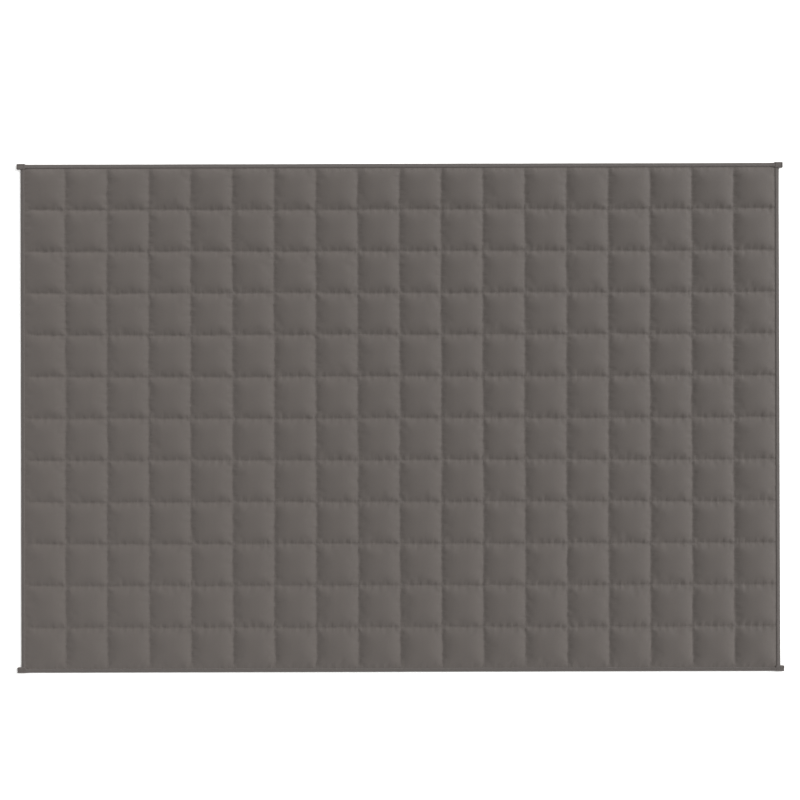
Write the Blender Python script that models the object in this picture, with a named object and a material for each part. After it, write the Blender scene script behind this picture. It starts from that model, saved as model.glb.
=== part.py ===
"""A quilted weighted blanket, lying flat with its face up.

X runs along the long side, Y along the short side and Z up from the surface that the blanket lies on.
The origin is on that surface, under the middle of the blanket.

The body is one filled piece: square pads in columns and rows, each with a rounded crown above, a flat
underside, and a narrow sewn channel on every side. Round the pads runs a thin sewn rim. A tape is folded
round that rim on each side. The side tapes are sewn on first; the top and bottom tapes cover their ends
and run past them as short folded tabs. All lengths are in metres.
"""

import math

import bmesh
import bpy

# Driving dimensions of the quilting
COLUMNS = 18
ROWS = 12
QUILT_PITCH = 0.1007
BINDING_FACE = 0.0087

# Gap between pieces that touch on the real blanket
CLEARANCE = 0.0003

# Pads: heights above the surface, and how far the round shoulder and the lifted underside reach in
CROWN_HEIGHT = 0.0120
CROWN_UNEVENNESS = 0.06
CHANNEL_TOP = 0.0048
CHANNEL_UNDERSIDE = 0.0024
SHOULDER_REACH = 0.0155
SHOULDER_SHARE = 0.70
UNDERSIDE_REACH = 0.0125

# Binding tape
TAPE = 0.0010
BINDING_TOP = 0.0050
FOLD_REACH = 0.0020
FOLD_STEPS = 6

# Sewn rim, held between the two layers of tape
RIM_TOP = BINDING_TOP - TAPE - CLEARANCE
RIM_UNDERSIDE = TAPE + CLEARANCE

# At a corner the top or bottom tape lies outside the side tape, so the layers there are stacked:
# the side tape's lower layer and the rim are lifted over the last half pad
CORNER_LIFT = 0.0014
CORNER_REACH = QUILT_PITCH / 2
CORNER_TOP = BINDING_TOP + CLEARANCE + TAPE

# Half sizes of the field of pads, the sewn rim and the bound blanket
PADS_X = COLUMNS * QUILT_PITCH / 2
PADS_Y = ROWS * QUILT_PITCH / 2
HALF_X = PADS_X + BINDING_FACE
HALF_Y = PADS_Y + BINDING_FACE
RIM_X = HALF_X - FOLD_REACH
RIM_Y = HALF_Y - FOLD_REACH

# Ends of the top and bottom tapes, from the plain tape out to the tip of the tab.
# past_side: distance beyond the blanket's side; out, into: extra width away from and towards the pads;
# under, top: heights of the tape's two faces.
TAPE_END = (
    {"past_side": -0.0240, "out": 0.0000, "into": 0.0000, "under": 0.0, "top": BINDING_TOP},
    {"past_side": -0.0120, "out": 0.0000, "into": 0.0000, "under": 0.0, "top": CORNER_TOP},
    {"past_side": -0.0105, "out": 0.0014, "into": 0.0024, "under": 0.0, "top": CORNER_TOP},
    {"past_side": +0.0003, "out": 0.0014, "into": 0.0024, "under": 0.0, "top": CORNER_TOP},
)
TAB = (
    {"past_side": +0.0078, "out": 0.0014, "into": 0.0022, "under": 0.0, "top": 0.0058},
    {"past_side": +0.0090, "out": 0.0006, "into": 0.0012, "under": 0.0008, "top": 0.0046},
)

# Pieces that share a material, with its colour as sRGB and its roughness
COVER_CLOTH = {"name": "cover_cloth", "colour": "67625F", "roughness": 0.88}
BINDING_CLOTH = {"name": "binding_cloth", "colour": "69645F", "roughness": 0.84}

SMOOTH_BELOW = math.radians(40)
WELD = 1e-6


def linear_colour(hex_code):
    """An sRGB hex code as linear red, green, blue and alpha."""
    channels = [int(hex_code[i : i + 2], 16) / 255 for i in (0, 2, 4)]
    linear = [c / 12.92 if c <= 0.04045 else ((c + 0.055) / 1.055) ** 2.4 for c in channels]
    return (*linear, 1.0)


def cloth_material(cloth):
    """The material of a kind of cloth, made once and then shared."""
    found = bpy.data.materials.get(cloth["name"])
    if found:
        return found
    material = bpy.data.materials.new(cloth["name"])
    material.use_nodes = True
    shader = material.node_tree.nodes["Principled BSDF"]
    shader.inputs["Base Color"].default_value = linear_colour(cloth["colour"])
    shader.inputs["Roughness"].default_value = cloth["roughness"]
    shader.inputs["Metallic"].default_value = 0.0
    material.diffuse_color = shader.inputs["Base Color"].default_value
    return material


def add_object(name, shape, cloth):
    """A named object from a bmesh, with faces pointing out and round parts shaded smooth."""
    bmesh.ops.recalc_face_normals(shape, faces=shape.faces)
    mesh = bpy.data.meshes.new(name)
    shape.to_mesh(mesh)
    shape.free()
    mesh.materials.append(cloth_material(cloth))
    mesh.shade_smooth()
    mesh.set_sharp_from_angle(angle=SMOOTH_BELOW)
    made = bpy.data.objects.new(name, mesh)
    bpy.context.scene.collection.objects.link(made)
    return made


def corner_share(along, half_pads):
    """0 along most of an edge, rising to 1 over the last half pad before a corner."""
    share = (abs(along) - (half_pads - CORNER_REACH)) / CORNER_REACH
    return min(max(share, 0.0), 1.0)


def edge_lift(x, y):
    """How far the sewn rim's underside is lifted, to make room for the second tape near a corner."""
    return CORNER_LIFT * min(corner_share(x, PADS_X), corner_share(y, PADS_Y))


def on_rim(x, y):
    """True where a point lies on the edge of the field of pads or outside it."""
    return abs(x) > PADS_X - WELD or abs(y) > PADS_Y - WELD


def from_channel(along, half_pads):
    """Distance from a point to the nearest sewn channel that crosses its axis."""
    place = (along + half_pads) / QUILT_PITCH
    return abs(place - round(place)) * QUILT_PITCH


def rise(distance):
    """Share of a pad's crown reached this far from its channel."""
    if distance <= SHOULDER_REACH:
        return SHOULDER_SHARE * distance / SHOULDER_REACH
    left = (distance - SHOULDER_REACH) / (QUILT_PITCH / 2 - SHOULDER_REACH)
    return SHOULDER_SHARE + (1 - SHOULDER_SHARE) * left


def crown_height(x, y):
    """Height of the crown of the pad that holds a point; no two neighbours are filled alike."""
    column = math.floor((x + PADS_X) / QUILT_PITCH)
    row = math.floor((y + PADS_Y) / QUILT_PITCH)
    uneven = math.sin(2.1 * column + 4.7 * row) * math.cos(3.4 * column - 1.3 * row)
    return CROWN_HEIGHT * (1 + CROWN_UNEVENNESS * uneven)


def face_height(x, y):
    """Height of the blanket's face above the surface."""
    if on_rim(x, y):
        return RIM_TOP
    share = rise(from_channel(x, PADS_X)) * rise(from_channel(y, PADS_Y))
    return CHANNEL_TOP + (crown_height(x, y) - CHANNEL_TOP) * share


def underside_height(x, y):
    """Height of the blanket's underside: flat on the surface under each pad, lifted at the channels."""
    if on_rim(x, y):
        return RIM_UNDERSIDE + edge_lift(x, y)
    nearest = min(from_channel(x, PADS_X), from_channel(y, PADS_Y))
    return CHANNEL_UNDERSIDE if nearest < UNDERSIDE_REACH / 2 else 0.0


def pad_grid(shape):
    """A flat grid with one face for each pad."""
    bmesh.ops.create_grid(shape, x_segments=COLUMNS, y_segments=ROWS, size=1)
    bmesh.ops.scale(shape, vec=(PADS_X, PADS_Y, 1), verts=shape.verts)


def boundary(shape):
    """The edges that have a face on one side only."""
    return [edge for edge in shape.edges if edge.is_boundary]


def add_rim(shape, height):
    """Extends a sheet of pads by its sewn rim, out to the fold of the tape."""
    made = bmesh.ops.extrude_edge_only(shape, edges=boundary(shape))["geom"]
    for vert in made:
        if not isinstance(vert, bmesh.types.BMVert):
            continue
        if abs(vert.co.x) > PADS_X - WELD:
            vert.co.x = math.copysign(RIM_X, vert.co.x)
        if abs(vert.co.y) > PADS_Y - WELD:
            vert.co.y = math.copysign(RIM_Y, vert.co.y)
        vert.co.z = height(vert.co.x, vert.co.y)


def face_sheet():
    """The blanket's face: each pad rises over a round shoulder to a single crown."""
    shape = bmesh.new()
    pad_grid(shape)
    bmesh.ops.bisect_edges(shape, edges=shape.edges, cuts=1)
    pads = shape.faces[:]
    bmesh.ops.inset_individual(shape, faces=pads, thickness=SHOULDER_REACH, use_even_offset=True)
    bmesh.ops.poke(shape, faces=pads)
    for vert in shape.verts:
        vert.co.z = face_height(vert.co.x, vert.co.y)
    add_rim(shape, face_height)
    return shape


def underside_sheet():
    """The blanket's underside: each pad has a flat square that rests on the surface."""
    shape = bmesh.new()
    pad_grid(shape)
    bmesh.ops.bisect_edges(shape, edges=boundary(shape), cuts=1)
    bmesh.ops.inset_individual(
        shape, faces=shape.faces[:], thickness=UNDERSIDE_REACH, use_even_offset=True
    )
    for vert in shape.verts:
        vert.co.z = underside_height(vert.co.x, vert.co.y)
    add_rim(shape, underside_height)
    return shape


def build_body():
    """The filled body: its face and underside, closed by a narrow wall at the rim's outer edge."""
    shape = bmesh.new()
    for sheet in (face_sheet(), underside_sheet()):
        mesh = bpy.data.meshes.new("sheet")
        sheet.to_mesh(mesh)
        sheet.free()
        shape.from_mesh(mesh)
        bpy.data.meshes.remove(mesh)
    upper = [edge for edge in boundary(shape) if edge.verts[0].co.z > RIM_TOP - WELD]
    wall = bmesh.ops.extrude_edge_only(shape, edges=upper)["geom"]
    for vert in wall:
        if isinstance(vert, bmesh.types.BMVert):
            vert.co.z = underside_height(vert.co.x, vert.co.y)
    bmesh.ops.remove_doubles(shape, verts=shape.verts, dist=WELD)
    add_object("quilted_body", shape, COVER_CLOTH)


def fold_arc(across, middle, reach, half_height):
    """Points round the fold from its lower to its upper face; across is where the fold begins."""
    turns = [math.pi * (step / FOLD_STEPS - 0.5) for step in range(FOLD_STEPS + 1)]
    return [
        (across + reach * math.cos(turn), middle + half_height * math.sin(turn)) for turn in turns
    ]


def tape_section(inner, outer, under, top):
    """The two sides of a folded tape's section, as (distance from the middle line, height) points."""
    across = outer - FOLD_REACH
    middle = (under + top) / 2
    half_height = (top - under) / 2
    outside = fold_arc(across, middle, FOLD_REACH, half_height)
    outside = [(inner, under), *outside, (inner, top)]
    inside = fold_arc(across, middle, FOLD_REACH - TAPE, half_height - TAPE)
    inside = [(inner, under + TAPE), *inside, (inner, top - TAPE)]
    return outside, inside[::-1]


def join_rings(shape, first, second):
    """Faces between two closed rings with the same number of points."""
    for i in range(len(first)):
        j = (i + 1) % len(first)
        shape.faces.new((first[i], first[j], second[j], second[i]))


def build_side_binding(name, side):
    """The tape on the left or right edge, from under one long tape to under the other."""
    shape = bmesh.new()
    bends = (RIM_Y, PADS_Y, PADS_Y - CORNER_REACH)
    rings = []
    for y in [*bends, *(-bend for bend in reversed(bends))]:
        under = edge_lift(PADS_X, y)
        outside, inside = tape_section(PADS_X + CLEARANCE, HALF_X, under, BINDING_TOP)
        rings.append([shape.verts.new((side * x, y, z)) for x, z in outside + inside])
    for first, second in zip(rings, rings[1:]):
        join_rings(shape, first, second)
    shape.faces.new(rings[0])
    shape.faces.new(rings[-1])
    add_object(name, shape, BINDING_CLOTH)


def long_tape_rings(shape, row, end, side):
    """The outside and inside vertices of a long tape's section at one row of its end's table."""
    inner = PADS_Y + CLEARANCE - row["into"]
    outer = HALF_Y + row["out"]
    x = end * (HALF_X + row["past_side"])
    outside, inside = tape_section(inner, outer, row["under"], row["top"])
    return [[shape.verts.new((x, side * y, z)) for y, z in points] for points in (outside, inside)]


def add_tab(shape, end, side, mouth):
    """Closes one end of a long tape: its mouth is filled, and the folded end runs out as a tab."""
    outside, inside = mouth
    shape.faces.new(inside)
    ring = [*outside, inside[0], inside[-1]]
    for row in TAB:
        outside, inside = long_tape_rings(shape, row, end, side)
        following = [*outside, inside[0], inside[-1]]
        bmesh.ops.delete(shape, geom=inside[1:-1], context="VERTS")
        join_rings(shape, ring, following)
        ring = following
    shape.faces.new(ring)


def build_long_binding(name, side):
    """The tape on the top or bottom edge, with a folded tab past each side of the blanket."""
    shape = bmesh.new()
    right = [long_tape_rings(shape, row, 1, side) for row in reversed(TAPE_END)]
    left = [long_tape_rings(shape, row, -1, side) for row in TAPE_END]
    rings = right + left
    for first, second in zip(rings, rings[1:]):
        join_rings(shape, first[0] + first[1], second[0] + second[1])
    add_tab(shape, 1, side, rings[0])
    add_tab(shape, -1, side, rings[-1])
    add_object(name, shape, BINDING_CLOTH)


def main():
    for old in list(bpy.data.objects):
        bpy.data.objects.remove(old)
    build_body()
    build_side_binding("binding_left", -1)
    build_side_binding("binding_right", 1)
    build_long_binding("binding_top", 1)
    build_long_binding("binding_bottom", -1)


main()
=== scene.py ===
import math

import bpy
import numpy as np
from bpy.props import FloatProperty, FloatVectorProperty, IntProperty, PointerProperty
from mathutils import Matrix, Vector


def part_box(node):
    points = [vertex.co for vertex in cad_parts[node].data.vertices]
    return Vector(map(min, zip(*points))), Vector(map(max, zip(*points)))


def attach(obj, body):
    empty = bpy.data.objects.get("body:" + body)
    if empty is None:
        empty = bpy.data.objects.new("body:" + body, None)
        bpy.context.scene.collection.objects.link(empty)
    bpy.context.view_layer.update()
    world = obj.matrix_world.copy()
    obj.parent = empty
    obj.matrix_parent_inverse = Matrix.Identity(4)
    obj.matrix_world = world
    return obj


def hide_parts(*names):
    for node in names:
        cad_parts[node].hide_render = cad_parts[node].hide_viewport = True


bl_info = {
    "name": "Weighted Blanket",
    "version": (1, 0, 0),
    "blender": (4, 5, 0),
    "location": "View3D > Sidebar > Blanket",
    "description": "Builds a quilted weighted blanket, lying flat in a studio, with all its sewing",
    "category": "Object",
}

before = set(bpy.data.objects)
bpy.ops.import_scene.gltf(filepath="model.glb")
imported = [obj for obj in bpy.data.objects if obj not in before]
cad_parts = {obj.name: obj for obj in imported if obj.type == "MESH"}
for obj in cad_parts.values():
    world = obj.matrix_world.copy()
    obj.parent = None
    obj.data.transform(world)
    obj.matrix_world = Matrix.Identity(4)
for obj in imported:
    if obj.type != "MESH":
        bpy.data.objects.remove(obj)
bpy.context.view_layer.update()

MM = 0.001
BODY = "root"

# Places read from the frame: the field of pads, the sewn rim and the folded tape round it
SEAM_GAP = 0.3 * MM  # between the tape's solid and what lies beside it
TAPE_LOW, TAPE_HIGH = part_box("binding_right")
RIM_X, RIM_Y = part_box("quilted_body")[1].xy
LONG_TAPE_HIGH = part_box("binding_top")[1]
PADS_X = TAPE_LOW.x - SEAM_GAP
HALF_X = TAPE_HIGH.x
FOLD_REACH = HALF_X - RIM_X
HALF_Y = RIM_Y + FOLD_REACH
PADS_Y = HALF_Y - (HALF_X - PADS_X)
BINDING_TOP = TAPE_HIGH.z
CORNER_TOP = LONG_TAPE_HIGH.z
TAB_PAST_SIDE = LONG_TAPE_HIGH.x - HALF_X

# The tape, and the rim that it folds round
TAPE = 1.0 * MM  # its thickness
GRIP_GAP = 0.2 * MM  # between the rim and the tape over it
RIM_TOP = BINDING_TOP - TAPE - GRIP_GAP
RIM_UNDERSIDE = TAPE + SEAM_GAP
CORNER_LIFT = 1.4 * MM  # rise of the lower layers near a corner, to clear the long tape under them
FOLD_DROP = 1.0 * MM  # how much lower the fold is than the tape's middle
RIM_DROP = 0.8 * MM  # how much lower the rim's top is at its outer edge, inside the fold
OVERLAP = 1.4 * MM  # how far the tape lies over the edge of the pads
FLAT_EDGE = 1.3 * MM  # how far the pads stay flat under it

# The photograph: its width, the blanket's middle and length in pixels, and how the camera stood
PHOTO_PIXELS = 800
PHOTO_MIDDLE = (400.2, 417.7)
PHOTO_LENGTH = 758.7
PHOTO_TURN_DEG = 0.147
PHOTO_TILT_DEG = 0.11
SENSOR_MM = 36

# Materials, named for the real ones
COVER_CLOTH = "plain_weave_polycotton"
BINDING_CLOTH = "plain_weave_polycotton_tape"
THREAD = "spun_polyester_thread"
FLOOR_PAPER = "matt_studio_paper"


def linear(hex_code):
    """An sRGB hex code as linear red, green and blue."""
    channels = [int(hex_code[i : i + 2], 16) / 255 for i in (0, 2, 4)]
    return [c / 12.92 if c <= 0.04045 else ((c + 0.055) / 1.055) ** 2.4 for c in channels]


def length(name, description, metres):
    """A length that can be changed."""
    return FloatProperty(
        name=name, description=description, default=metres, min=0, precision=5, unit="LENGTH"
    )


def angle(name, description, degrees):
    """An angle that can be changed."""
    return FloatProperty(
        name=name, description=description, default=math.radians(degrees), subtype="ANGLE"
    )


def colour(name, description, hex_code):
    """A colour that can be changed."""
    return FloatVectorProperty(
        name=name, description=description, default=linear(hex_code), subtype="COLOR", min=0, max=1
    )


class BlanketSizes(bpy.types.PropertyGroup):
    """Sizes of the quilting, the filling and the sewing."""

    columns: IntProperty(name="Columns", description="Pads along the long side", default=18, min=2)
    rows: IntProperty(name="Rows", description="Pads along the short side", default=12, min=2)
    crown_height: length("Crown height", "Height of the middle of a full pad", 12.7 * MM)
    channel_top: length("Channel top", "Height of the upper cover where it is sewn down", 3.9 * MM)
    channel_underside: length(
        "Channel underside", "Height of the lower cover where it is sewn up", 2.4 * MM
    )
    gather_height: length("Gather height", "Height of the small ridges beside the rows", 1.6 * MM)
    quilting_pitch: length(
        "Quilting pitch", "Distance from one quilting stitch to the next", 3.6 * MM
    )
    binding_pitch: length("Binding pitch", "Distance from one binding stitch to the next", 3.0 * MM)
    thread: length("Thread", "Width of the sewing thread", 0.55 * MM)
    seed: IntProperty(name="Seed", description="Picks how the pads differ", default=7)


class BlanketColours(bpy.types.PropertyGroup):
    """Colours of the cloth and the thread."""

    cover: colour("Cover", "Colour of the cover cloth", "544E4A")
    binding: colour("Binding", "Colour of the folded tape", "534E4B")
    thread: colour("Thread", "Colour of the sewing thread", "504947")


class StudioSettings(bpy.types.PropertyGroup):
    """The floor, the light and the camera."""

    floor: colour("Floor", "Colour of the floor", "F4F4F3")
    key_strength: FloatProperty(
        name="Key light", description="Strength of the key light", default=3.5, min=0
    )
    key_azimuth: angle(
        "Key azimuth", "Where the key light stands, turned from the blanket's right end", 30
    )
    key_tilt: angle("Key tilt", "How far the key light leans from straight overhead", 62)
    key_softness: angle("Key softness", "Width of the key light as the blanket sees it", 28)
    fill_strength: FloatProperty(
        name="Fill light", description="Strength of the light from all round", default=0.73, min=0
    )
    lens_mm: FloatProperty(
        name="Lens", description="Focal length of the camera in mm", default=50.0, min=1
    )


# ---------------------------------------------------------------- helpers

TINY = 1e-6  # what rounding may take from a place, and the least that anything is divided by
LEAST_RIDGE = 0.2  # the lowest of ridges and hollows in turn, where the highest may be 1


def sizes():
    """The sizes that the blanket is built with."""
    return bpy.context.scene.blanket_sizes


def colours():
    """The colours that it is built with."""
    return bpy.context.scene.blanket_colours


def pitch_x():
    """Width of a pad, from one sewn column to the next."""
    return 2 * PADS_X / sizes().columns


def pitch_y():
    """Depth of a pad, from one sewn row to the next."""
    return 2 * PADS_Y / sizes().rows


def add_object(name, points, faces, material):
    """A smooth mesh object that rides on the blanket, from arrays of points and of faces."""
    mesh = bpy.data.meshes.new(name)
    mesh.from_pydata(np.asarray(points, float), [], [list(face) for face in faces])
    mesh.validate()
    mesh.shade_smooth()
    mesh.materials.append(material)
    made = bpy.data.objects.new(name, mesh)
    bpy.context.scene.collection.objects.link(made)
    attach(made, BODY)
    return made


def finished_points(name):
    """The points of a piece that an earlier operator made."""
    piece = bpy.data.objects.get(name)
    if piece is None:
        raise RuntimeError(f"The piece {name} has to be made first")
    points = np.empty(len(piece.data.vertices) * 3)
    piece.data.vertices.foreach_get("co", points)
    return points.reshape(-1, 3)


def smooth_noise(places, spacing, rng, in_turn=False):
    """Random values from -1 to 1, smooth over the spacing, or ridges and hollows in turn."""
    places = np.asarray(places, float)
    steps = (places - places.min()) / spacing
    values = rng.uniform(-1, 1, int(steps.max()) + 3)
    if in_turn:
        values = (LEAST_RIDGE + (1 - LEAST_RIDGE) * np.abs(values)) * (-1) ** np.arange(len(values))
    low = np.floor(steps).astype(int)
    share = steps - low
    share = share * share * (3 - 2 * share)  # an even curve from 0 to 1, level at both ends
    return values[low] * (1 - share) + values[low + 1] * share


# The four outer lines of a grid of points
GRID_SIDES = (np.s_[0, :], np.s_[-1, :], np.s_[:, 0], np.s_[:, -1])


def grid_faces(rows, columns, first=0, upward=True):
    """Quads over a grid of points, row by row."""
    index = first + np.arange(rows * columns).reshape(rows, columns)
    corners = [index[:-1, :-1], index[:-1, 1:], index[1:, 1:], index[1:, :-1]]
    quads = np.stack(corners, -1).reshape(-1, 4)
    return quads if upward else quads[:, ::-1]


# ---------------------------------------------------------------- materials

WHITE = (*linear("FFFFFF"), 1)
NOISE_RANGE = {"From Min": 0.3, "From Max": 0.7}  # nearly all of the noise lies between these

# The smallest gathers beside the channels, which are relief in the cover's material
PUCKER_WIDTH, PUCKER_RUN = 8.0, 30.0  # size of the grain in mm, across the ridges and along them
PUCKER_RISE = 0.25 * MM
PUCKER_REACH = 18 * MM  # how far from a channel they have died out

# What all the cloths share: matt spun fibres with a soft, warm bloom at low angles
CLOTH_FINISH = {
    "IOR": 1.53,  # cotton and polyester
    "Diffuse Roughness": 0.4,
    "Sheen Weight": 0.35,
    "Sheen Roughness": 0.5,
    "Sheen Tint": (*linear("FFF3EF"), 1),
}
# What the floor's paper has beside its colour
PAPER_FINISH = {"Roughness": 0.95, "Emission Color": WHITE, "Emission Strength": 0.3}


def add_node(tree, kind, inputs=None, **settings):
    """A node with its settings. An input takes a value, a socket or a node's first output."""
    node = tree.nodes.new("ShaderNode" + kind)
    for name, value in settings.items():
        setattr(node, name, value)
    for name, value in (inputs or {}).items():
        if isinstance(value, bpy.types.Node):
            value = value.outputs[0]
        if isinstance(value, bpy.types.NodeSocket):
            tree.links.new(value, node.inputs[name])
        else:
            node.inputs[name].default_value = value
    return node


def start_material(name):
    """A material with an empty tree, its shader, and the surface's own place in metres."""
    material = bpy.data.materials.new(name)
    material.use_nodes = True
    tree = material.node_tree
    tree.nodes.clear()
    shader = add_node(tree, "BsdfPrincipled")
    add_node(tree, "OutputMaterial", {"Surface": shader})
    place = add_node(tree, "TexCoord").outputs["Object"]
    return material, tree, shader, place


def tint(tree, shader, base, tone):
    """Gives the shader its base colour, times a tone that changes over the surface."""
    tinted = add_node(tree, "VectorMath", {0: (*base,), "Scale": tone}, operation="SCALE")
    tree.links.new(tinted.outputs[0], shader.inputs["Base Color"])


def grain(tree, place, millimetres, low, high, detail=2.0):
    """Noise of these sizes along X, Y and Z, spread from the low value to the high one."""
    scale = [1 / (size * MM) for size in millimetres]
    scaled = add_node(tree, "Mapping", {"Vector": place, "Scale": scale})
    noise = add_node(tree, "TexNoise", {"Vector": scaled, "Scale": 1.0, "Detail": detail})
    limits = {**NOISE_RANGE, "To Min": low, "To Max": high}
    return add_node(tree, "MapRange", {"Value": noise.outputs["Fac"], **limits}, clamp=False)


def weave_height(tree, place, thread_mm, rise):
    """Height of a plain weave: threads across and along that pass over and under in turn."""
    turns = math.pi / (thread_mm * MM)
    scaled = add_node(tree, "VectorMath", {0: place, "Scale": turns}, operation="SCALE")
    waves = add_node(tree, "VectorMath", {0: scaled}, operation="SINE")
    split = add_node(tree, "SeparateXYZ", {0: waves})
    threads = {0: split.outputs["X"], 1: split.outputs["Y"]}
    crossed = add_node(tree, "Math", threads, operation="MULTIPLY")
    return add_node(tree, "Math", {0: crossed, 1: rise}, operation="MULTIPLY")


def pucker_height(tree, place):
    """Fine gathers that the thread draws up, square to each channel and dying out in the pad."""
    split = add_node(tree, "SeparateXYZ", {0: place})
    total = None
    for axis, half, pitch, ridge_mm in (
        ("Y", PADS_Y, pitch_y(), (PUCKER_WIDTH, PUCKER_RUN, PUCKER_RUN)),
        ("X", PADS_X, pitch_x(), (PUCKER_RUN, PUCKER_WIDTH, PUCKER_RUN)),
    ):
        from_edge = add_node(tree, "Math", {0: split.outputs[axis], 1: half}, operation="ADD")
        distance = add_node(tree, "Math", {0: from_edge, 1: pitch / 2}, operation="PINGPONG")
        limits = {"From Min": 0.0, "From Max": PUCKER_REACH, "To Min": 1.0, "To Max": 0.0}
        falling = {"Value": distance, **limits}
        fade = add_node(tree, "MapRange", falling, interpolation_type="SMOOTHSTEP")
        ridges = grain(tree, place, ridge_mm, -PUCKER_RISE, PUCKER_RISE, detail=1.0)
        faded = add_node(tree, "Math", {0: ridges, 1: fade}, operation="MULTIPLY")
        total = add_node(tree, "Math", {0: total, 1: faded}, operation="ADD") if total else faded
    return total


def finish_cloth(tree, shader, base, tone, height, roughness):
    """Links a cloth's colour, tone and relief to its shader, and sets what all the cloths share."""
    tint(tree, shader, base, tone)
    tree.links.new(roughness.outputs[0], shader.inputs["Roughness"])
    bump = add_node(tree, "Bump", {"Height": height, "Strength": 1.0, "Distance": 1.0})
    tree.links.new(bump.outputs[0], shader.inputs["Normal"])
    for name, value in CLOTH_FINISH.items():
        shader.inputs[name].default_value = value


def cover_cloth():
    """The cover's cloth."""
    # Cotton and polyester in a plain weave, dyed in the piece and lightly brushed: matt, with slubs
    # that run along the cloth as faint streaks, and a soft bloom where it is seen at a low angle.
    # Its threads lie 0.3 mm apart, too fine to show, so the weave is drawn at 0.8 mm.
    material, tree, shader, place = start_material(COVER_CLOTH)
    slub_mm = (5.0, 120.0, 120.0)
    streaks = grain(tree, place, slub_mm, low=0.955, high=1.045, detail=3.0)
    blotches = grain(tree, place, (180.0, 150.0, 180.0), low=0.985, high=1.015)
    tone = add_node(tree, "Math", {0: streaks, 1: blotches}, operation="MULTIPLY")
    weave = weave_height(tree, place, thread_mm=0.8, rise=0.07 * MM)
    height = add_node(tree, "Math", {0: weave, 1: pucker_height(tree, place)}, operation="ADD")
    rough = grain(tree, place, slub_mm, low=0.75, high=0.85, detail=3.0)
    finish_cloth(tree, shader, colours().cover, tone, height, rough)
    return material


def binding_cloth():
    """The folded tape's cloth."""
    # The cover's cloth cut into a strip and pressed double: the same weave with shorter slubs,
    # lightly rubbed, so that it is mottled along the fold. Its weave is drawn at 0.7 mm for 0.3 mm.
    material, tree, shader, place = start_material(BINDING_CLOTH)
    rub_mm = (14.0, 14.0, 14.0)
    slubs = grain(tree, place, (6.0, 6.0, 60.0), low=0.94, high=1.06, detail=3.0)
    rubbed = grain(tree, place, rub_mm, low=0.96, high=1.04)
    tone = add_node(tree, "Math", {0: slubs, 1: rubbed}, operation="MULTIPLY")
    weave = weave_height(tree, place, thread_mm=0.7, rise=0.06 * MM)
    creases = grain(tree, place, (7.0, 7.0, 7.0), low=-0.12 * MM, high=0.12 * MM, detail=1.0)
    height = add_node(tree, "Math", {0: weave, 1: creases}, operation="ADD")
    rough = grain(tree, place, rub_mm, low=0.78, high=0.90)
    finish_cloth(tree, shader, colours().binding, tone, height, rough)
    return material


def sewing_thread():
    """The stitches' thread."""
    # Spun polyester, two-ply and dyed to match: a little smoother and darker than the cloth, with
    # the ply showing as a fine ripple along it.
    material, tree, shader, place = start_material(THREAD)
    fuzz_mm = (3.0, 3.0, 3.0)
    tone = grain(tree, place, fuzz_mm, low=0.90, high=1.10)
    ply = grain(tree, place, (0.5, 0.5, 0.5), low=-0.03 * MM, high=0.03 * MM, detail=1.0)
    rough = grain(tree, place, fuzz_mm, low=0.55, high=0.65)
    finish_cloth(tree, shader, colours().thread, tone, ply, rough)
    return material


def floor_paper():
    """The floor's paper."""
    # Uncoated studio paper: matt and white with a faint cloudy tone. A little light of its own
    # keeps it as white round the blanket as the photograph's ground is.
    material, tree, shader, place = start_material(FLOOR_PAPER)
    tone = grain(tree, place, (400.0, 400.0, 400.0), low=0.995, high=1.005)
    tint(tree, shader, bpy.context.scene.blanket_studio.floor, tone)
    for name, value in PAPER_FINISH.items():
        shader.inputs[name].default_value = value
    return material


# What makes each material
MAKERS = {
    COVER_CLOTH: cover_cloth,
    BINDING_CLOTH: binding_cloth,
    THREAD: sewing_thread,
    FLOOR_PAPER: floor_paper,
}


def material_of(name):
    """A material, made the first time that it is asked for."""
    return bpy.data.materials.get(name) or MAKERS[name]()


# ---------------------------------------------------------------- quilted cover

# Distances from a channel of half a pad's grid lines: the first few in mm, then how many wider ones
FRONT_NEAR, FRONT_WIDE = (0.0, 2.8), 8
BACK_NEAR, BACK_WIDE = (0.0, 4.5, 13.0), 0
LINE_SPREAD = 1.15  # the wider ones grow a little wider towards the middle of the pad
CHANNEL_WIDTH = 2.8 * MM
CHANNEL_DIP = 0.3 * MM  # how much lower the cloth lies within that distance of a channel

# How square a pad's section is: at the blanket's low edge, inside, and at its high edge
SECTION_X = (1.4, 2.4, 1.75)
SECTION_Y = (1.7, 3.2, 2.9)
HIP_SHARPNESS = 1.6  # how sharply the pad's four slopes meet towards its corners
CREST_SHIFT = (0.13, 0.09)  # how far the pads' crests lie towards the right end and the top edge
LEAN = 0.03  # how much that differs from pad to pad
FILL_RANGE = (0.98, 1.02)  # how full the pads are, where 1 is the crown's height
UNDERSIDE_REACH = 12.5 * MM  # how far from a channel the lower cover comes to rest on the floor

# The simulated patch
PATCH_COLUMNS, PATCH_ROWS = 6, 4
PATCH_FRAMES = 20
PATCH_LUMPS = 0.3 * MM  # unevenness that the cloth starts with
MOST_MOVE = 0.6 * MM  # the furthest that a point of it may move

# The gathers beside the channels that are moves of the cover's points
GATHER_SPACING = 9.6 * MM  # from the middle of a ridge to the middle of the next hollow
GATHER_RISE = 3.0 * MM  # how far from the channel a ridge is at its highest
GATHER_RUN_MM, RUN_VARIES_MM = 14, 6  # how far it runs on from there, and how much that differs
GATHER_END = 25 * MM  # how far from the channel even the longest have died out
GATHER_FALL = 1.5  # power of the curve that they die out in
COLUMN_GATHERS = 0.67  # height of the ridges beside the columns, where beside the rows it is 1

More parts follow.
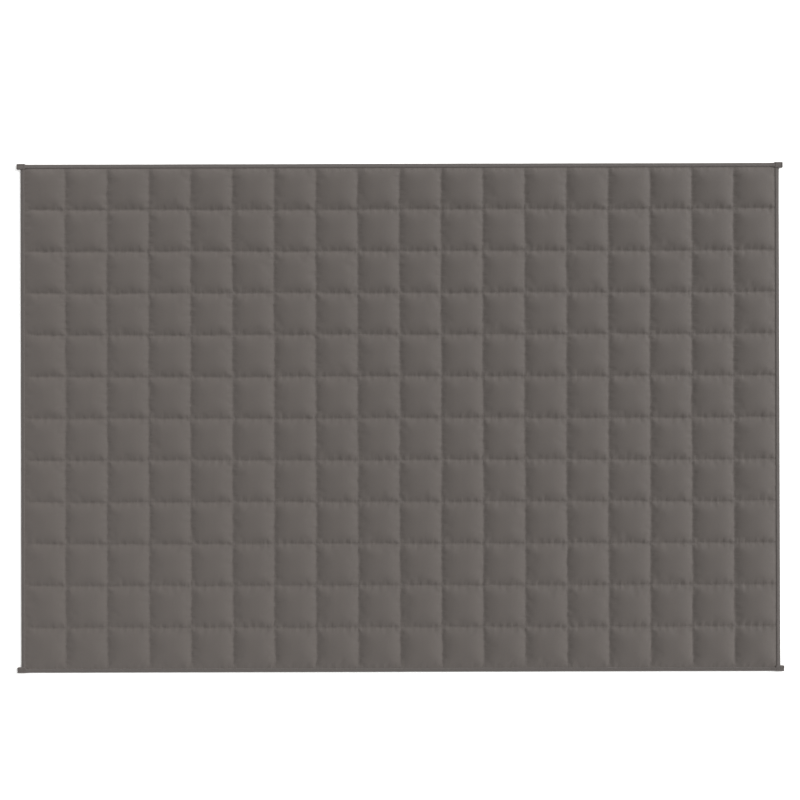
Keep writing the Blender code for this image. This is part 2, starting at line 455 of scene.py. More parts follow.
# How the sewn rows lie: their shift from even places, all together, and the waves that they stray
# in. A wave has its size, its radians for each metre across and up the blanket, and its start.
ROWS_SHIFT = (-1.0 * MM, -1.4 * MM)
STRAY = 0.5 * MM
WAVES_ACROSS = ((1.0, 14.3, 9.1, 0.0), (0.8, -31.0, 23.7, 1.1))
WAVES_UP = ((1.0, 8.3, 12.9, 0.7), (0.8, 21.1, -27.0, 2.9))


def pad_offsets(pitch, near_mm, wide):
    """Distances from one channel to the grid lines of a pad, up to but without the next channel."""
    near = np.array(near_mm) * MM
    steps = np.arange(1, wide + 1) / (wide + 1)
    spread = near[-1] + (pitch / 2 - near[-1]) * steps**LINE_SPREAD
    half = np.concatenate([near, spread, [pitch / 2]])
    return np.concatenate([half, pitch - half[-2:0:-1]])


# How many grid lines a pad has, from one channel up to the next
FRONT_LINES = 2 * (len(FRONT_NEAR) + FRONT_WIDE)
BACK_LINES = 2 * (len(BACK_NEAR) + BACK_WIDE)


def grid_lines(half, count, near_mm, wide):
    """Places of all grid lines along one axis, from the first channel to the last."""
    pitch = 2 * half / count
    lines = [i * pitch + pad_offsets(pitch, near_mm, wide) for i in range(count)]
    return np.concatenate([*lines, [2 * half]]) - half


def across_pad(along, half, count):
    """Which pad each place is in, and how far across it, from -1 to 1."""
    place = (along + half) / (2 * half / count)
    pad = np.clip(np.floor(place + TINY).astype(int), 0, count - 1)
    return pad, 2 * (place - pad) - 1


def pad_section(along, half, count, powers):
    """Share of the crown's height at each place along one axis."""
    pad, across = across_pad(along, half, count)
    power = np.full(len(along), powers[1])
    power[(pad == 0) & (across < 0)] = powers[0]
    power[(pad == count - 1) & (across > 0)] = powers[2]
    return 1 - np.minimum(np.abs(across), 1) ** power


def near_channel(along, half, count, reach):
    """Rises from 0 on a channel to 1 at a distance from it."""
    _, across = across_pad(along, half, count)
    return np.minimum((1 - np.abs(across)) * half / count / reach, 1)


def hip(share_y, share_x):
    """Joins the two sections of a pad into four slopes that meet in soft hips at the corners."""
    fall_y = ((1 - share_y) / np.maximum(share_y, TINY)) ** HIP_SHARPNESS
    fall_x = ((1 - share_x) / np.maximum(share_x, TINY)) ** HIP_SHARPNESS
    return 1 / (1 + np.add.outer(fall_y, fall_x) ** (1 / HIP_SHARPNESS))


def corner_share(along, half):
    """0 along most of an edge, rising to 1 over the last half pad before a corner."""
    reach = pitch_x() / 2
    return np.clip((np.abs(along) - (half - reach)) / reach, 0, 1)


def filling(x, y, rng=None):
    """Share of the crown's height over a grid. With random numbers, no two pads are alike."""
    s = sizes()
    section_x = pad_section(x, PADS_X, s.columns, SECTION_X)
    section_y = pad_section(y, PADS_Y, s.rows, SECTION_Y)
    share = hip(section_y, section_x)
    if rng is None:
        return share
    column, across = across_pad(x, PADS_X, s.columns)
    row, up = across_pad(y, PADS_Y, s.rows)
    pads = np.ix_(row, column)
    fill = rng.uniform(*FILL_RANGE, (s.rows, s.columns))
    lean_x, lean_y = rng.uniform(-LEAN, LEAN, (2, s.rows, s.columns))
    lean_x, lean_y = lean_x[pads] + CREST_SHIFT[0], lean_y[pads] + CREST_SHIFT[1]
    return share * fill[pads] * (1 + lean_x * across[None, :] + lean_y * up[:, None])


def front_points(x, y, rng=None):
    """Points of the upper cover as it is cut and filled, before the thread draws it up."""
    s = sizes()
    away_x = near_channel(x, PADS_X, s.columns, CHANNEL_WIDTH)
    away_y = near_channel(y, PADS_Y, s.rows, CHANNEL_WIDTH)
    height = s.channel_top - CHANNEL_DIP * np.minimum.outer(away_y, away_x)
    height += (s.crown_height - s.channel_top + CHANNEL_DIP) * filling(x, y, rng)
    return np.stack([*np.meshgrid(x, y), height], -1)


def pad_span(row, column):
    """The part of the upper cover's grid that one pad takes, with the channels round it."""
    first_y, first_x = row * FRONT_LINES, column * FRONT_LINES
    return np.s_[first_y : first_y + FRONT_LINES + 1, first_x : first_x + FRONT_LINES + 1]


def settled_cloth(start, sewn):
    """The points of a patch of cloth once it has swelled and settled, held at its sewn points."""
    rows, columns = sewn.shape
    mesh = bpy.data.meshes.new("patch")
    mesh.from_pydata(start.reshape(-1, 3), [], grid_faces(rows, columns).tolist())
    patch = bpy.data.objects.new("patch", mesh)
    bpy.context.scene.collection.objects.link(patch)
    group = patch.vertex_groups.new(name="sewn")
    group.add(np.flatnonzero(sewn.reshape(-1)).tolist(), 1.0, "REPLACE")
    cloth = patch.modifiers.new("Cloth", "CLOTH")
    cloth.collision_settings.use_self_collision = False
    cloth.collision_settings.use_collision = False
    settings = cloth.settings
    settings.quality = 8
    settings.mass = 0.15
    settings.tension_stiffness = settings.compression_stiffness = 20
    settings.shear_stiffness = 10
    settings.bending_stiffness = 0.05
    settings.vertex_group_mass = group.name
    settings.shrink_min = -0.012  # the cloth has 1.2% to spare
    settings.use_pressure = True
    settings.uniform_pressure_force = 1.5
    settings.effector_weights.gravity = 0
    scene = bpy.context.scene
    for number in range(1, PATCH_FRAMES + 1):
        scene.frame_set(number)
    settled = np.empty(rows * columns * 3, np.float32)
    graph = bpy.context.evaluated_depsgraph_get()
    patch.evaluated_get(graph).data.vertices.foreach_get("co", settled)
    scene.frame_set(1)
    bpy.data.objects.remove(patch)
    bpy.data.meshes.remove(mesh)
    return settled.reshape(start.shape)


def simulated_moves(rng):
    """How the cloth of each pad of a patch moves when it is sewn down with cloth to spare."""
    s = sizes()
    x = grid_lines(PADS_X, s.columns, FRONT_NEAR, FRONT_WIDE)[: PATCH_COLUMNS * FRONT_LINES + 1]
    y = grid_lines(PADS_Y, s.rows, FRONT_NEAR, FRONT_WIDE)[: PATCH_ROWS * FRONT_LINES + 1]
    lumps = PATCH_LUMPS * rng.uniform(-1, 1, (len(y), len(x)))
    points = front_points(x, y)
    on_column, on_row = (np.arange(len(places)) % FRONT_LINES == 0 for places in (x, y))
    sewn = on_column[None, :] | on_row[:, None]
    start = points.copy()
    start[..., 2] += lumps * ~sewn
    moved = settled_cloth(start, sewn) - points
    far = np.linalg.norm(moved, axis=-1, keepdims=True)
    moved *= np.minimum(1, MOST_MOVE / np.maximum(far, TINY))
    return np.array(
        [
            [moved[pad_span(row, column)] for column in range(PATCH_COLUMNS)]
            for row in range(PATCH_ROWS)
        ]
    )


def beside_channels(along, over, half, count, rng):
    """Ridges beside the channels that run along one axis: rows over the other axis."""
    pitch = 2 * half / count
    ridges = np.zeros((len(over), len(along)))
    for seam in range(count + 1):
        for side in (-1, 1):
            strength = smooth_noise(along, GATHER_SPACING, rng, in_turn=True)
            varied = smooth_noise(along, 2 * GATHER_SPACING, rng)
            run = (GATHER_RUN_MM + RUN_VARIES_MM * varied) * MM
            distance = (over - (seam * pitch - half)) * side
            near = (distance > 0) & (distance < GATHER_END)
            away = distance[near][:, None]
            fade = np.clip(1 - (away - GATHER_RISE) / run, 0, 1) ** GATHER_FALL
            ridges[near] += strength * np.minimum(away / GATHER_RISE, 1) * fade
    return ridges


def gathers(x, y, rng):
    """Small ridges that the thread draws up on both sides of every channel, square to it."""
    s = sizes()
    across = beside_channels(x, y, PADS_Y, s.rows, rng)
    across *= near_channel(x, PADS_X, s.columns, CHANNEL_WIDTH)
    down = beside_channels(y, x, PADS_X, s.columns, rng)
    down *= near_channel(y, PADS_Y, s.rows, CHANNEL_WIDTH)
    return s.gather_height * (across + COLUMN_GATHERS * down.T)


def rim_top(x, y):
    """Height of the sewn rim's top, the same all round."""
    return np.full(np.shape(x), RIM_TOP)


def rim_underside(x, y):
    """Height of the sewn rim's underside, which makes room for the second tape near a corner."""
    corner = np.minimum(corner_share(x, PADS_X), corner_share(y, PADS_Y))
    return RIM_UNDERSIDE + CORNER_LIFT * corner


def waves_at(x, y, waves):
    """Height of the waves at each point, added together."""
    return sum(
        size * np.sin(turn_x * x + turn_y * y + start) for size, turn_x, turn_y, start in waves
    )


def strays(x, y):
    """How far the sewn rows stray from straight lines at each point, and not at all at the rim."""
    calm_x = np.clip((PADS_X - np.abs(x)) / pitch_x(), 0, 1)
    calm_y = np.clip((PADS_Y - np.abs(y)) / pitch_y(), 0, 1)
    dx, dy = waves_at(x, y, WAVES_ACROSS), waves_at(x, y, WAVES_UP)
    calm = calm_x * calm_y
    return calm * (STRAY * dx + ROWS_SHIFT[0]), calm * (STRAY * dy + ROWS_SHIFT[1])


def with_rim(points, rim_height, outer_drop=0.0):
    """The grid set down at its outer lines, with one more ring of points at the rim's edge."""
    for side in GRID_SIDES:
        points[side + (2,)] = rim_height(points[side + (0,)], points[side + (1,)])
    dx, dy = strays(points[..., 0], points[..., 1])
    wide = np.pad(points, ((1, 1), (1, 1), (0, 0)), mode="edge")
    wide[1:-1, 1:-1, 0] += dx
    wide[1:-1, 1:-1, 1] += dy
    wide[:, 0, 0], wide[:, -1, 0] = -RIM_X, RIM_X
    wide[0, :, 1], wide[-1, :, 1] = -RIM_Y, RIM_Y
    for side in GRID_SIDES:
        wide[side + (2,)] = rim_height(wide[side + (0,)], wide[side + (1,)]) - outer_drop
    return wide


def upper_cover(rng):
    """Points of the upper cover: crowned pads, gathered at the channels, and the sewn rim."""
    s = sizes()
    x = grid_lines(PADS_X, s.columns, FRONT_NEAR, FRONT_WIDE)
    y = grid_lines(PADS_Y, s.rows, FRONT_NEAR, FRONT_WIDE)
    for lines in (x, y):
        lines[1], lines[-2] = lines[0] + FLAT_EDGE, lines[-1] - FLAT_EDGE
    points = front_points(x, y, rng)
    moves = simulated_moves(rng)
    for row in range(s.rows):
        for column in range(s.columns):
            pad = moves[rng.integers(PATCH_ROWS), rng.integers(PATCH_COLUMNS)]
            if rng.random() < 0.5:
                pad = pad[:, ::-1] * (-1, 1, 1)
            if rng.random() < 0.5:
                pad = pad[::-1] * (1, -1, 1)
            points[pad_span(row, column)] += pad
    points[..., 2] += gathers(x, y, rng)
    points[[1, -2], :, 2] = points[:, [1, -2], 2] = RIM_TOP
    return with_rim(points, rim_top, RIM_DROP)


def lower_cover():
    """Points of the lower cover: flat where the pads rest, lifted at the channels."""
    s = sizes()
    x = grid_lines(PADS_X, s.columns, BACK_NEAR, BACK_WIDE)
    y = grid_lines(PADS_Y, s.rows, BACK_NEAR, BACK_WIDE)
    near_x = near_channel(x, PADS_X, s.columns, UNDERSIDE_REACH)
    near_y = near_channel(y, PADS_Y, s.rows, UNDERSIDE_REACH)
    rest = np.outer(near_y * (2 - near_y), near_x * (2 - near_x))
    points = np.stack([*np.meshgrid(x, y), s.channel_underside * (1 - rest)], -1)
    return with_rim(points, rim_underside)


def grid_outline(rows, columns, first):
    """The four outer lines of a grid as lists of indices, going round anticlockwise."""
    index = first + np.arange(rows * columns).reshape(rows, columns)
    return [index[0, :], index[:, -1], index[-1, ::-1], index[::-1, 0]]


def zip_lines(upper, lower, points):
    """Triangles between two lines that start and end together, each with its own points."""
    start = points[upper[0]]
    along_upper = np.linalg.norm((points[upper] - start)[:, :2], axis=1)
    along_lower = np.linalg.norm((points[lower] - start)[:, :2], axis=1)
    faces = []
    i = j = 0
    while i < len(upper) - 1 or j < len(lower) - 1:
        at_end = j == len(lower) - 1
        if i < len(upper) - 1 and (at_end or along_upper[i + 1] <= along_lower[j + 1]):
            faces.append((lower[j], upper[i + 1], upper[i]))
            i += 1
        else:
            faces.append((lower[j], lower[j + 1], upper[i]))
            j += 1
    return faces


class BLANKET_OT_quilted_cover(bpy.types.Operator):
    """Makes the two covers with the filling between them, quilted into pads"""

    bl_idname = "blanket.quilted_cover"
    bl_label = "Quilted Cover"

    def execute(self, context):
        rng = np.random.default_rng(sizes().seed)
        front = upper_cover(rng)
        back = lower_cover()
        points = np.concatenate([front.reshape(-1, 3), back.reshape(-1, 3)])
        first = front.shape[0] * front.shape[1]
        faces = grid_faces(*front.shape[:2]).tolist()
        faces += grid_faces(*back.shape[:2], first, upward=False).tolist()
        uppers = grid_outline(*front.shape[:2], 0)
        lowers = grid_outline(*back.shape[:2], first)
        for upper, lower in zip(uppers, lowers):
            faces += zip_lines(upper, lower, points)
        made = add_object("quilted_cover", points, faces, material_of(COVER_CLOTH))
        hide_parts("quilted_body")
        return {"FINISHED"}


# ---------------------------------------------------------------- bindings

STATION = 3.0 * MM  # distance between two sections of a tape
TAB_STATION = 0.75 * MM  # the same towards its ends
FOLD_STEPS = 8  # round the outside of the fold
INNER_STEPS = 4  # round its inside

# Section of the tape's layers: share of its width from the inner edge, and height in mm above the
# flat layer. The stitches lie in the groove.
GROOVE = 0.20
UNDER_SECTION = ((0.00, 0.28), (0.06, 0.02), (GROOVE, 0.35), (0.34, 0.02), (0.60, 0.0))
UPPER_SECTION = (
    (0.66, -0.90),
    (0.56, -0.56),
    (0.46, -0.27),
    (0.36, -0.06),
    (0.28, 0.06),
    (GROOVE, -0.06),
    (0.12, 0.04),
    (0.05, -0.12),
    (0.00, -0.50),
)

# Places in a tape's ring of points: the lower layer, the fold, the upper layer, and the inside with
# its two corners
UNDER_GROOVE = [share for share, _ in UNDER_SECTION].index(GROOVE)
FOLD_MIDDLE = len(UNDER_SECTION) + FOLD_STEPS // 2
UPPER_START = len(UNDER_SECTION) + FOLD_STEPS + 1
UPPER_GROOVE = UPPER_START + [share for share, _ in UPPER_SECTION].index(GROOVE)
UPPER_END = UPPER_START + len(UPPER_SECTION)
RING_SIZE = UPPER_END + INNER_STEPS + 3

# How a tape strays along its length
INNER_WAVER = ((0.22, 9), (0.15, 60))  # of its inner edge: size and spacing in mm
OUTER_WAVER = ((0.06, 14), (0.10, 110))  # of its fold, the same
RIPPLE_SPACING = 6 * MM  # of its thickness
RIPPLE_RISE = 0.12 * MM  # what the ripple adds to the height of the upper layer
RIPPLE_SHARE = 0.4  # how much it deepens that layer's section
TAB_RIPPLE = 0.8  # how much stronger it is in a tab
CALM_END = 15 * MM  # a side tape runs straight over this length, to lie inside the long one
HOLLOW_SHRINKS = 0.3  # keeps the closed hollow of a filled tab clear of the section's corners

# Ends of the long tapes: distance past the blanket's side in mm, share of the flare, height of the
# underside and of the top in mm, and 1 where the tab is closed and filled by its folded-in end.
# Between the two first rows the tape is plain.
TAPE_END = (
    {"past": -24.0, "flare": 0.0, "under": 0.0, "top": BINDING_TOP / MM, "filled": 0},
    {"past": -12.5, "flare": 0.0, "under": 0.0, "top": CORNER_TOP / MM, "filled": 0},
    {"past": -10.2, "flare": 1.0, "under": 0.0, "top": CORNER_TOP / MM, "filled": 0},
    {"past": 0.3, "flare": 1.0, "under": 0.0, "top": CORNER_TOP / MM, "filled": 0},
    {"past": 0.5, "flare": 1.0, "under": 0.0, "top": CORNER_TOP / MM, "filled": 1},
    {"past": 7.6, "flare": 0.95, "under": 0.0, "top": 5.9, "filled": 1},
    {"past": 8.6, "flare": 0.80, "under": 0.3, "top": 5.3, "filled": 1},
    {"past": TAB_PAST_SIDE / MM, "flare": 0.50, "under": 1.0, "top": 4.4, "filled": 1},
)
TAB_START, TAB_BLEND = 13 * MM, 4 * MM  # how far inside the side a tab starts, and takes to change
# How far the flare reaches outward and inward of the plain tape
FLARES = {"tape_top": (1.7 * MM, 2.4 * MM), "tape_bottom": (0.4 * MM, 3.9 * MM)}


def tape_rings(inner, outer, under, top, drop, filled, ripple):
    """Section points (distance, height) of a folded tape at each station, as one closed ring."""
    width = outer - inner
    across = outer - FOLD_REACH
    fold_top = top - drop
    middle, half = (under + fold_top) / 2, (fold_top - under) / 2
    ring = [(inner + share * width, under + rise * MM) for share, rise in UNDER_SECTION]
    for turn in np.linspace(-math.pi / 2, math.pi / 2, FOLD_STEPS + 1):
        ring.append((across + FOLD_REACH * math.cos(turn), middle + half * math.sin(turn)))
    for share, rise in UPPER_SECTION:
        height = top + rise * MM * (1 + RIPPLE_SHARE * ripple) + RIPPLE_RISE * ripple
        ring.append((inner + share * width, height))
    ring.append((inner, top - TAPE))
    # Where the tab is filled, the hollow shrinks to a line on the inner edge
    hollow = (half - TAPE) * (1 - HOLLOW_SHRINKS * filled)
    for turn in np.linspace(math.pi / 2, -math.pi / 2, INNER_STEPS + 1):
        reach = across + (FOLD_REACH - TAPE) * math.cos(turn)
        ring.append((inner + (1 - filled) * (reach - inner), middle + hollow * math.sin(turn)))
    ring.append((inner, under + TAPE))
    return np.stack([np.stack(np.broadcast_arrays(s, z), -1) for s, z in ring], 1)


def edge_waver(places, rng):
    """Small strays along a tape: of its inner edge, of its fold, and of its thickness."""
    inner, outer = (
        sum(size * MM * smooth_noise(places, spacing * MM, rng) for size, spacing in waver)
        for waver in (INNER_WAVER, OUTER_WAVER)
    )
    return inner, outer, smooth_noise(places, RIPPLE_SPACING, rng)


def add_tape(name, rings, inside_out):
    """A folded tape through its rings, shape (stations, points of a ring, 3)."""
    count, size = rings.shape[:2]
    index = np.arange(count * size).reshape(count, size)
    following = np.roll(index, -1, axis=1)
    quads = np.stack([index[:-1], following[:-1], following[1:], index[1:]], -1).reshape(-1, 4)
    faces = quads.tolist() + [index[0, ::-1].tolist(), index[-1].tolist()]
    if inside_out:
        faces = [face[::-1] for face in faces]
    cloth = material_of(BINDING_CLOTH)
    made = add_object(name, rings.reshape(-1, 3), faces, cloth)
    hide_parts(name.replace("tape", "binding"))


def side_tape(name, side, rng):
    """The tape on the left or right edge, from inside one long tape to inside the other."""
    y = np.linspace(-RIM_Y, RIM_Y, int(2 * RIM_Y / STATION) + 1)
    inner, outer, ripple = edge_waver(y, rng)
    calm = np.clip((RIM_Y - np.abs(y)) / CALM_END, 0, 1)
    section = tape_rings(
        PADS_X + SEAM_GAP - OVERLAP + inner * calm,
        HALF_X + outer * calm,
        CORNER_LIFT * corner_share(y, PADS_Y),
        BINDING_TOP,
        FOLD_DROP,
        0,
        ripple * calm,
    )
    across, height = section[..., 0], section[..., 1]
    rings = np.stack([side * across, np.broadcast_to(y[:, None], across.shape), height], -1)
    add_tape(name, rings, side > 0)


def long_tape(name, side, rng):
    """The tape on the top or bottom edge, with a folded tab past each side of the blanket."""
    ends = np.array([row["past"] for row in TAPE_END]) * MM
    plain = HALF_X + ends[0]
    middle = np.linspace(-plain, plain, int(2 * plain / STATION) + 1)
    fine = np.arange(ends[0] + TAB_STATION, ends[-2], TAB_STATION)
    right = HALF_X + np.unique(np.concatenate([fine, ends[1:]]))
    x = np.concatenate([-right[::-1], middle, right])
    past = np.abs(x) - HALF_X
    flare, under, top, filled = (
        np.interp(past, ends, [row[key] for row in TAPE_END])
        for key in ("flare", "under", "top", "filled")
    )
    out, into = FLARES[name]
    inner, outer, ripple = edge_waver(x, rng)
    tab = np.clip((past + TAB_START) / TAB_BLEND, 0, 1)
    section = tape_rings(
        PADS_Y + SEAM_GAP - OVERLAP + inner * (1 - tab) - into * flare,
        HALF_Y + outer * (1 - tab) + out * flare,
        under * MM,
        top * MM,
        FOLD_DROP * (1 - tab),
        np.round(filled),
        ripple * (1 + TAB_RIPPLE * tab),
    )
    across, height = section[..., 0], section[..., 1]
    rings = np.stack([np.broadcast_to(x[:, None], across.shape), side * across, height], -1)
    add_tape(name, rings, side < 0)


class BLANKET_OT_bindings(bpy.types.Operator):
    """Makes the folded tape on the four edges, with its corner tabs"""

    bl_idname = "blanket.bindings"
    bl_label = "Bindings"

    def execute(self, context):
        rng = np.random.default_rng(sizes().seed + 1)
        side_tape("tape_left", -1, rng)
        side_tape("tape_right", 1, rng)
        long_tape("tape_top", 1, rng)
        long_tape("tape_bottom", -1, rng)
        return {"FINISHED"}


# ---------------------------------------------------------------- stitching

STITCH_SHARE = 0.74  # length of a stitch as a share of the pitch
STITCH_RANGE = (0.92, 1.06)  # how its length differs
STITCH_STRAY = 0.04  # how far its middle lies from an even place, as a share of the pitch
STITCH_SINK = 0.15 * MM  # how deep its ends lie in the cloth
STITCH_LIFT = 0.38 * MM  # how high its middle lies over it
THREAD_TAPER = 0.75  # how wide its ends are, where its middle is 1
QUILTING_SIDES, BINDING_SIDES = 3, 4  # sides of the thread's section
BARTACKS = (6.4 * MM, -8.6 * MM)  # how far past the blanket's side the bars across a long tape lie
BARTACK_STITCHES = 15
BARTACK_LENGTH = 2.2 * MM
BARTACK_RISE = 0.08 * MM
BARTACK_SPAN = (0.06, 0.92)  # where a bar starts and ends, as shares of the tape's width


def along_row(path, pitch, rng):
    """Start, middle and end of each stitch of a sewn row."""
    step = np.linalg.norm(np.diff(path, axis=0), axis=1)
    run = np.concatenate([[0], np.cumsum(step)])
    count = int(run[-1] / pitch)
    middle = (np.arange(count) + 0.5) * run[-1] / count
    middle += rng.uniform(-STITCH_STRAY, STITCH_STRAY, count) * pitch
    half = pitch * STITCH_SHARE / 2 * rng.uniform(*STITCH_RANGE, count)
    places = np.stack([middle - half, middle, middle + half], 1)
    return np.stack([np.interp(places, run, path[:, axis]) for axis in range(3)], -1)


def add_stitches(name, rows, up, sides):
    """One piece of short bent threads, each through its start, middle and end."""
    places = np.concatenate(rows)
    direction = places[:, 2] - places[:, 0]
    upward = np.array([0.0, 0.0, up])
    side = np.cross(direction, upward)
    side /= np.linalg.norm(side, axis=1, keepdims=True)
    lift = np.array([-STITCH_SINK, STITCH_LIFT, -STITCH_SINK])
    centres = places + lift[None, :, None] * upward
    turns = 2 * math.pi * np.arange(sides) / sides + math.pi / 2
    radius = np.array([THREAD_TAPER, 1.0, THREAD_TAPER])[None, :, None, None] * sizes().thread / 2
    cosine, sine = (wave(turns)[None, None, :, None] for wave in (np.cos, np.sin))
    rings = centres[:, :, None, :] + radius * (cosine * side[:, None, None, :] + sine * upward)
    index = np.arange(len(places) * 3 * sides).reshape(len(places), 3, sides)
    following = np.roll(index, -1, axis=2)
    corners = [index[:, :-1], index[:, 1:], following[:, 1:], following[:, :-1]]
    quads = np.stack(corners, -1).reshape(-1, 4)
    faces = quads.tolist() + index[:, 0].tolist() + index[:, 2, ::-1].tolist()
    add_object(name, rings.reshape(-1, 3), faces, material_of(THREAD))


class BLANKET_OT_quilting_thread(bpy.types.Operator):
    """Sews the rows across and down that part the pads, above and below"""

    bl_idname = "blanket.quilting_thread"
    bl_label = "Quilting Thread"

    def execute(self, context):
        s = sizes()
        rng = np.random.default_rng(s.seed + 2)
        points = finished_points("quilted_cover")
        start = 0
        for name, lines, up in (
            ("quilting_thread_upper", FRONT_LINES, 1),
            ("quilting_thread_lower", BACK_LINES, -1),
        ):
            # The last channel and the rim's two edges are lines of the grid as well
            shape = (s.rows * lines + 3, s.columns * lines + 3, 3)
            grid = points[start : start + shape[0] * shape[1]].reshape(shape)
            start += shape[0] * shape[1]
            paths = [grid[1 + row * lines, 1:-1] for row in range(1, s.rows)]
            paths += [grid[1:-1, 1 + column * lines] for column in range(1, s.columns)]
            rows = [along_row(path, s.quilting_pitch, rng) for path in paths]
            add_stitches(name, rows, up, QUILTING_SIDES)
        return {"FINISHED"}


def tape_rows(name):
    """The rings of a tape that is already made."""
    return finished_points(name).reshape(-1, RING_SIZE, 3)


def bartacks(name, side):
    """Bars of short stitches side by side across both ends of a long tape."""
    top = tape_rows(name)[:, FOLD_MIDDLE:UPPER_END]
    places = []
    for end in (-1, 1):
        for past in BARTACKS:
            x = end * (HALF_X + past)
            ring = top[np.argmin(np.abs(top[:, 0, 0] - x))][::-1]
            distance = np.abs(ring[:, 1])
            for share in np.linspace(*BARTACK_SPAN, BARTACK_STITCHES):
                place = distance[0] + share * (distance[-1] - distance[0])
                height = np.interp(place, distance, ring[:, 2]) + BARTACK_RISE
                along = [x + step * BARTACK_LENGTH / 2 for step in (-1, 0, 1)]
                places.append([[at, side * place, height] for at in along])
    return np.array(places)


class BLANKET_OT_binding_thread(bpy.types.Operator):
    """Sews the bindings down, with bars across the ends of the long ones"""

    bl_idname = "blanket.binding_thread"
    bl_label = "Binding Thread"

    def execute(self, context):
        s = sizes()
        rng = np.random.default_rng(s.seed + 3)
        names = ("tape_left", "tape_right", "tape_top", "tape_bottom")
        upper, lower = (
            [along_row(tape_rows(name)[:, groove], s.binding_pitch, rng) for name in names]
            for groove in (UPPER_GROOVE, UNDER_GROOVE)
        )
        upper += [bartacks("tape_top", 1), bartacks("tape_bottom", -1)]
        add_stitches("binding_thread_upper", upper, 1, BINDING_SIDES)
        add_stitches("binding_thread_lower", lower, -1, BINDING_SIDES)
        return {"FINISHED"}


# ---------------------------------------------------------------- stage

FLOOR_REACH = 60.0  # metres from the middle to each side of the sheet
FLOOR_GAP = 0.4 * MM  # between the sheet and the blanket's lowest point
WALL_STRENGTH = 1.1  # how bright the surroundings are where the camera sees them


def aim(item, direction):
    """Turns a light or camera to look along a direction."""
    item.rotation_euler = Vector(direction).to_track_quat("-Z", "Y").to_euler()


def add_floor():
    """A pale sheet of paper, far wider than the blanket."""
    mesh = bpy.data.meshes.new("floor")
    sides = ((-1, -1), (1, -1), (1, 1), (-1, 1))
    corners = [(x * FLOOR_REACH, y * FLOOR_REACH, 0) for x, y in sides]
    mesh.from_pydata(corners, [], [(0, 1, 2, 3)])
    mesh.materials.append(material_of(FLOOR_PAPER))
    floor = bpy.data.objects.new("floor", mesh)
    floor.location.z = -FLOOR_GAP
    bpy.context.scene.collection.objects.link(floor)


def add_lights(settings):
    """A broad soft key light from the upper right, and even light from all round."""
    light = bpy.data.lights.new("key", "SUN")
    light.energy = settings.key_strength
    light.angle = settings.key_softness
    key = bpy.data.objects.new("key", light)
    bpy.context.scene.collection.objects.link(key)
    flat = math.sin(settings.key_tilt)
    stands = (flat * math.cos(settings.key_azimuth), flat * math.sin(settings.key_azimuth))
    aim(key, (-stands[0], -stands[1], -math.cos(settings.key_tilt)))
    world = bpy.data.worlds.new("studio")
    world.use_nodes = True
    tree = world.node_tree
    tree.nodes.clear()
    fill = add_node(tree, "Background", {"Color": WHITE, "Strength": settings.fill_strength})
    wall = add_node(tree, "Background", {"Color": WHITE, "Strength": WALL_STRENGTH})
    seen = add_node(tree, "LightPath").outputs["Is Camera Ray"]
    mixed = add_node(tree, "MixShader", {0: seen, 1: fill, 2: wall})
    add_node(tree, "OutputWorld", {"Surface": mixed})
    bpy.context.scene.world = world


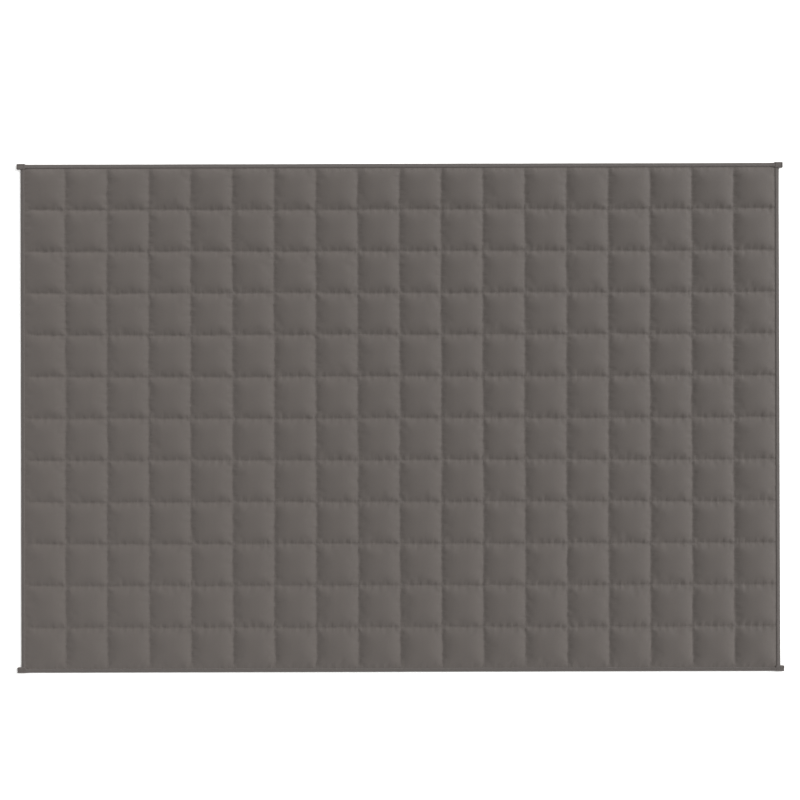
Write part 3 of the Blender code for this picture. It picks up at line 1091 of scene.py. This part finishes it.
def add_camera(settings):
    """A camera above, with the blanket where the photograph has it."""
    metres_per_pixel = 2 * HALF_X / PHOTO_LENGTH
    camera = bpy.data.cameras.new("camera")
    camera.lens = settings.lens_mm
    camera.sensor_width = SENSOR_MM
    distance = PHOTO_PIXELS * metres_per_pixel * settings.lens_mm / SENSOR_MM
    right = (PHOTO_PIXELS / 2 - PHOTO_MIDDLE[0]) * metres_per_pixel
    up = (PHOTO_MIDDLE[1] - PHOTO_PIXELS / 2) * metres_per_pixel
    turn = -math.radians(PHOTO_TURN_DEG)
    tilt = math.radians(PHOTO_TILT_DEG)
    up -= distance * math.tan(tilt)
    eye = bpy.data.objects.new("camera", camera)
    bpy.context.scene.collection.objects.link(eye)
    eye.location = (
        right * math.cos(turn) - up * math.sin(turn),
        right * math.sin(turn) + up * math.cos(turn),
        distance + BINDING_TOP / 2,
    )
    eye.rotation_euler = (tilt, 0, turn)
    bpy.context.scene.camera = eye


class BLANKET_OT_stage(bpy.types.Operator):
    """Makes the camera, the floor and the studio light"""

    bl_idname = "blanket.stage"
    bl_label = "Stage"

    def execute(self, context):
        settings = context.scene.blanket_studio
        add_camera(settings)
        add_floor()
        add_lights(settings)
        context.scene.view_settings.view_transform = "Standard"
        context.scene.view_settings.look = "None"
        return {"FINISHED"}


class VIEW3D_PT_weighted_blanket(bpy.types.Panel):
    """Lists the blanket's sizes, colours and pieces"""

    bl_label = "Weighted Blanket"
    bl_space_type = "VIEW_3D"
    bl_region_type = "UI"
    bl_category = "Blanket"

    def draw(self, context):
        for name, group in GROUPS.items():
            box = self.layout.box()
            for item in group.__annotations__:
                box.prop(getattr(context.scene, name), item)
        for operator in OPERATORS:
            self.layout.operator(operator.bl_idname)


GROUPS = {
    "blanket_sizes": BlanketSizes,
    "blanket_colours": BlanketColours,
    "blanket_studio": StudioSettings,
}
OPERATORS = (
    BLANKET_OT_stage,
    BLANKET_OT_quilted_cover,
    BLANKET_OT_bindings,
    BLANKET_OT_quilting_thread,
    BLANKET_OT_binding_thread,
)


def register():
    """Adds the settings, the operators and the panel."""
    for name, group in GROUPS.items():
        bpy.utils.register_class(group)
        setattr(bpy.types.Scene, name, PointerProperty(type=group))
    for item in (*OPERATORS, VIEW3D_PT_weighted_blanket):
        bpy.utils.register_class(item)


def unregister():
    """Takes them away again, in the opposite order."""
    for item in reversed((*OPERATORS, VIEW3D_PT_weighted_blanket)):
        bpy.utils.unregister_class(item)
    for name, group in reversed(GROUPS.items()):
        delattr(bpy.types.Scene, name)
        bpy.utils.unregister_class(group)


def main():
    """Builds the stage and every piece."""
    register()
    bpy.ops.blanket.stage()
    bpy.ops.blanket.quilted_cover()
    bpy.ops.blanket.bindings()
    bpy.ops.blanket.quilting_thread()
    bpy.ops.blanket.binding_thread()


if __name__ == "__main__":
    main()
